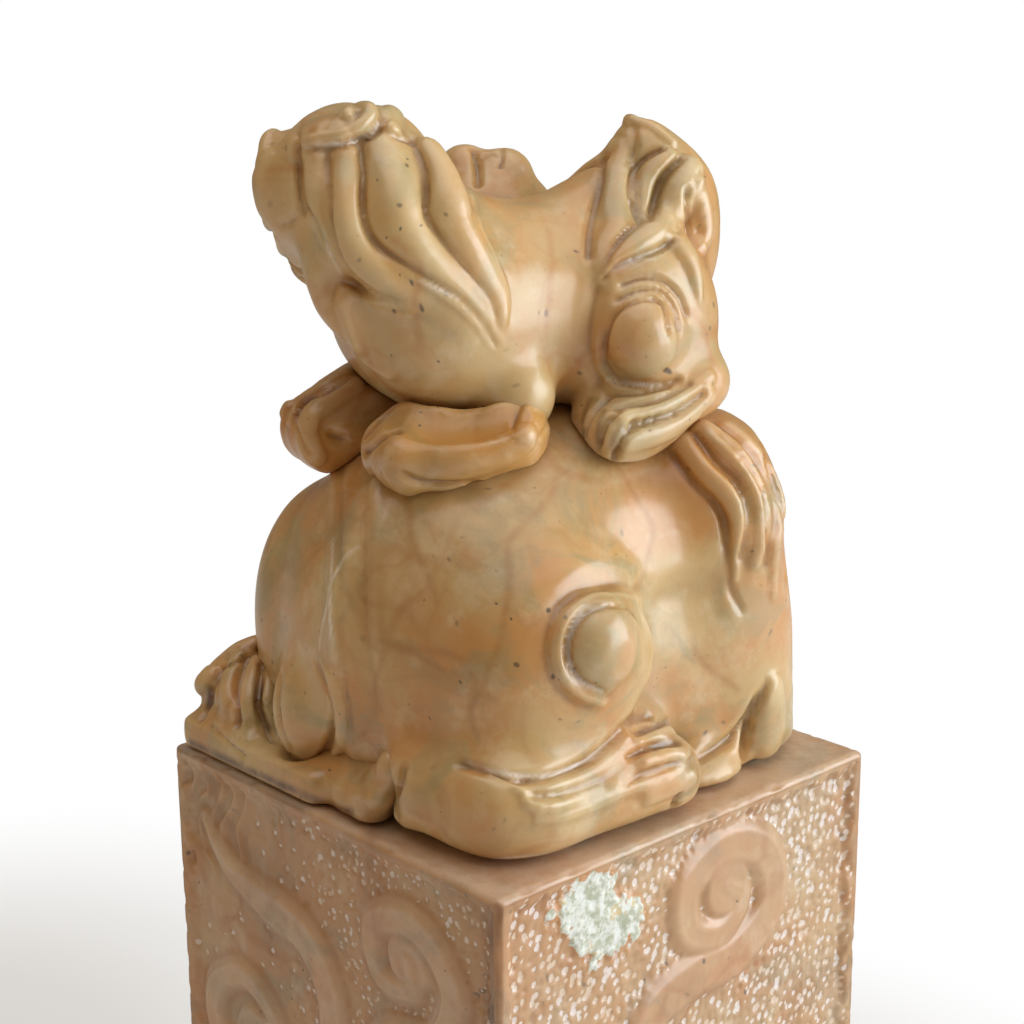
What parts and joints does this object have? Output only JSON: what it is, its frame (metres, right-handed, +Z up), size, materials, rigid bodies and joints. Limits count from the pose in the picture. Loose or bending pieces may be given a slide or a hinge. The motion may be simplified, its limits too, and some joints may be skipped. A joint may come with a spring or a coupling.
{
  "type": "seal stamp",
  "caption": "Square stone seal stamp with low cloud reliefs on its sides and a crouching lion carrying her cub carved as the handle; the flat underside prints.",
  "frame": {"origin": "middle of the print face, on the underside of the block", "axes": "+Z up from the print face through the block to the finial; the lion faces +Y, her right side is +X"},
  "size_m": [0.065, 0.065, 0.1701],
  "materials": {
    "block_stone": "polished soapstone, punched round the clouds",
    "print_stone": "flat ground, matte",
    "lion_stone": "waxed and polished soapstone",
    "cub_stone": "waxed and polished soapstone"
  },
  "bodies": {
    "root": {"seal_block": "block_stone", "print_face": "print_stone", "cloud_curl_right": "block_stone", "cloud_wisp_right": "block_stone", "cloud_sweep_front": "block_stone", "cloud_curl_front": "block_stone", "cloud_curl_left": "block_stone", "cloud_wisp_left": "block_stone", "cloud_sweep_rear": "block_stone", "cloud_curl_rear": "block_stone", "lion_torso": "lion_stone", "lion_haunch_right": "lion_stone", "lion_haunch_left": "lion_stone", "lion_foreleg_right": "lion_stone", "lion_foreleg_left": "lion_stone", "lion_chest": "lion_stone", "lion_neck": "lion_stone", "lion_hind_foot_right": "lion_stone", "lion_hind_foot_left": "lion_stone", "lion_haunch_ball_right": "lion_stone", "lion_haunch_fold_right": "lion_stone", "lion_haunch_ball_left": "lion_stone", "lion_haunch_fold_left": "lion_stone", "lion_spine_ridge": "lion_stone", "lion_mane_right": "lion_stone", "lion_mane_left": "lion_stone", "lion_skull": "lion_stone", "lion_jaw": "lion_stone", "lion_nose": "lion_stone", "lion_brow_right": "lion_stone", "lion_eye_right": "lion_stone", "lion_ear_right": "lion_stone", "lion_brow_left": "lion_stone", "lion_eye_left": "lion_stone", "lion_ear_left": "lion_stone", "lion_crown": "lion_stone", "tail_ledge": "lion_stone", "lion_tail": "lion_stone", "cub_torso": "cub_stone", "cub_haunch_right": "cub_stone", "cub_haunch_left": "cub_stone", "cub_foreleg_right": "cub_stone", "cub_foreleg_left": "cub_stone", "cub_hind_foot": "cub_stone", "cub_haunch_ball": "cub_stone", "cub_haunch_ring": "cub_stone", "cub_tail": "cub_stone", "cub_skull": "cub_stone", "cub_jaw": "cub_stone", "cub_nose": "cub_stone", "cub_brow_right": "cub_stone", "cub_eye_right": "cub_stone", "cub_ear_right": "cub_stone", "cub_brow_left": "cub_stone", "cub_eye_left": "cub_stone", "cub_ear_left": "cub_stone", "cub_crown": "cub_stone", "cub_mane_left": "cub_stone"}
  },
  "joints": []
}
